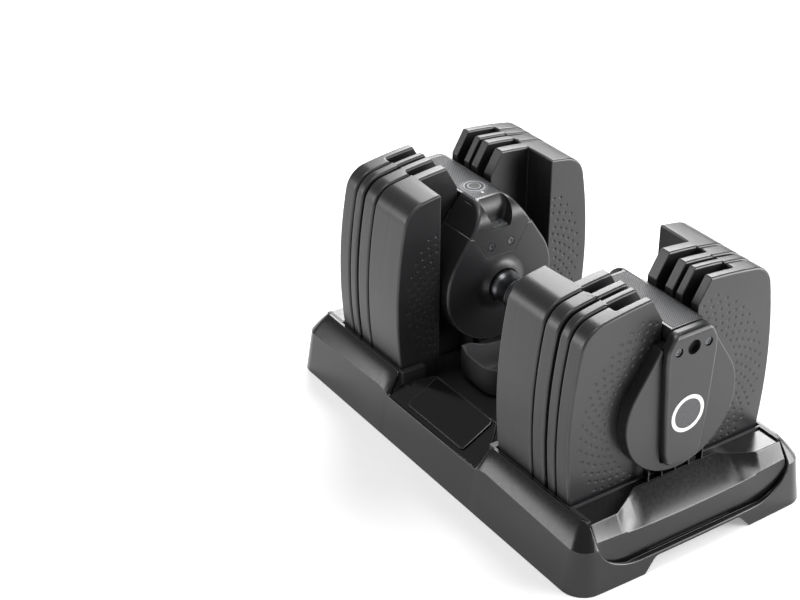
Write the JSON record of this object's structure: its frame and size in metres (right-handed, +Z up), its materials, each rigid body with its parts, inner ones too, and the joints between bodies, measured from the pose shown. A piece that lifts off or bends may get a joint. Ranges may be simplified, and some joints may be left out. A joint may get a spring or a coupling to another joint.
{
  "type": "adjustable dumbbell",
  "caption": "Adjustable dumbbell standing in its base: a twist grip between end covers picks up nested weight plates.",
  "frame": {"origin": "middle of the base, on the surface it stands on", "axes": "+X along the handle towards the near end, +Y to its left, +Z up"},
  "size_m": [0.4444, 0.2612, 0.2324],
  "materials": {
    "base_gloss": "moulded, glossy",
    "base_black": "moulded",
    "foot_rubber": "matte",
    "plate_skin": "satin, moulded over steel",
    "plate_steel": "raw",
    "cover_skin": "satin",
    "bar_skin": "satin",
    "label_silver": "ribbed silver foil",
    "badge_white": "printed white",
    "badge_dark": "gloss",
    "window_clear": "clear",
    "drum_black": "matte",
    "selector_black": "matte",
    "steel_bright": "turned",
    "grip_steel": "knurled",
    "bush_brass": "plain",
    "screw_black": "blackened",
    "button_gloss": "gloss",
    "board_green": "circuit board"
  },
  "bodies": {
    "base": {"base_skirt": "base_gloss", "base_tray": "base_black", "side_panels": "base_gloss", "end_ramp_near": "base_gloss", "end_ramp_far": "base_gloss", "cradle_near": "base_black", "cradle_far": "base_black", "base_screws": "screw_black", "rubber_feet": "foot_rubber", "release_posts": "base_black"},
    "plate_4_near": {"plate_4_near": "plate_skin", "plate_4_steel_near": "plate_steel"},
    "plate_3_near": {"plate_3_near": "plate_skin", "plate_3_steel_near": "plate_steel"},
    "plate_2_near": {"plate_2_near": "plate_skin", "plate_2_steel_near": "plate_steel"},
    "plate_1_near": {"plate_1_near": "plate_skin", "plate_1_steel_near": "plate_steel"},
    "plate_4_far": {"plate_4_far": "plate_skin", "plate_4_steel_far": "plate_steel"},
    "plate_3_far": {"plate_3_far": "plate_skin", "plate_3_steel_far": "plate_steel"},
    "plate_2_far": {"plate_2_far": "plate_skin", "plate_2_steel_far": "plate_steel"},
    "plate_1_far": {"plate_1_far": "plate_skin", "plate_1_steel_far": "plate_steel"},
    "handle_frame": {"fixed_shaft": "steel_bright", "shaft_nuts": "steel_bright", "bushings": "bush_brass", "cover_screws": "screw_black", "number_windows": "window_clear", "bar_screws": "screw_black", "badge_rings": "badge_white", "badge_centres": "badge_dark", "sensor_board": "board_green", "lock_spring_near": "steel_bright", "lock_spring_far": "steel_bright", "inner_cover_near": "cover_skin", "bridge_near": "cover_skin", "label_near": "label_silver", "back_plate_near": "cover_skin", "outer_cover_near": "cover_skin", "end_bar_near": "bar_skin", "inner_cover_far": "cover_skin", "bridge_far": "cover_skin", "label_far": "label_silver", "back_plate_far": "cover_skin", "outer_cover_far": "cover_skin", "end_bar_far": "bar_skin"},
    "grip_core": {"drive_tube": "steel_bright", "grip_sleeve": "grip_steel", "grip_collar_near": "steel_bright", "selector_near": "selector_black", "number_drum_near": "drum_black", "grip_collar_far": "steel_bright", "selector_far": "selector_black", "number_drum_far": "drum_black"},
    "lock_plunger_near": {"lock_plunger_near": "steel_bright"},
    "lock_plunger_far": {"lock_plunger_far": "steel_bright"},
    "mode_button": {"mode_button": "button_gloss"}
  },
  "joints": [
    {"name": "lift_plate_4_near", "type": "slide", "parent": "base", "child": "plate_4_near", "axis": [0, 0, 1], "range_m": [0, 0.18]},
    {"name": "lift_plate_3_near", "type": "slide", "parent": "plate_4_near", "child": "plate_3_near", "axis": [0, 0, 1], "range_m": [0, 0.18]},
    {"name": "lift_plate_2_near", "type": "slide", "parent": "plate_3_near", "child": "plate_2_near", "axis": [0, 0, 1], "range_m": [0, 0.18]},
    {"name": "lift_plate_1_near", "type": "slide", "parent": "plate_2_near", "child": "plate_1_near", "axis": [0, 0, 1], "range_m": [0, 0.18]},
    {"name": "lift_plate_4_far", "type": "slide", "parent": "base", "child": "plate_4_far", "axis": [0, 0, 1], "range_m": [0, 0.18]},
    {"name": "lift_plate_3_far", "type": "slide", "parent": "plate_4_far", "child": "plate_3_far", "axis": [0, 0, 1], "range_m": [0, 0.18]},
    {"name": "lift_plate_2_far", "type": "slide", "parent": "plate_3_far", "child": "plate_2_far", "axis": [0, 0, 1], "range_m": [0, 0.18]},
    {"name": "lift_plate_1_far", "type": "slide", "parent": "plate_2_far", "child": "plate_1_far", "axis": [0, 0, 1], "range_m": [0, 0.18]},
    {"name": "lift_handle", "type": "slide", "parent": "plate_1_near", "child": "handle_frame", "axis": [0, 0, 1], "range_m": [0, 0.18]},
    {"name": "turn_grip", "type": "hinge", "parent": "handle_frame", "child": "grip_core", "pos_m": [0, 0, 0.1241], "axis": [1, 0, 0], "continuous": true},
    {"name": "push_lock_near", "type": "slide", "parent": "handle_frame", "child": "lock_plunger_near", "axis": [0, 0, 1], "range_m": [0, 0.004], "stiffness_N_per_m": 250, "springref_m": -0.002, "deforming": ["lock_spring_near"]},
    {"name": "push_lock_far", "type": "slide", "parent": "handle_frame", "child": "lock_plunger_far", "axis": [0, 0, 1], "range_m": [0, 0.004], "stiffness_N_per_m": 250, "springref_m": -0.002, "deforming": ["lock_spring_far"]},
    {"name": "press_button", "type": "slide", "parent": "handle_frame", "child": "mode_button", "axis": [0, 0, -1], "range_m": [0, 0.0008], "stiffness_N_per_m": 800, "springref_m": -0.0004}
  ],
  "couplings": [
    {"joint": "lift_plate_4_far", "follows": "lift_plate_4_near", "ratio": 1},
    {"joint": "lift_plate_3_far", "follows": "lift_plate_3_near", "ratio": 1},
    {"joint": "lift_plate_2_far", "follows": "lift_plate_2_near", "ratio": 1},
    {"joint": "lift_plate_1_far", "follows": "lift_plate_1_near", "ratio": 1}
  ]
}
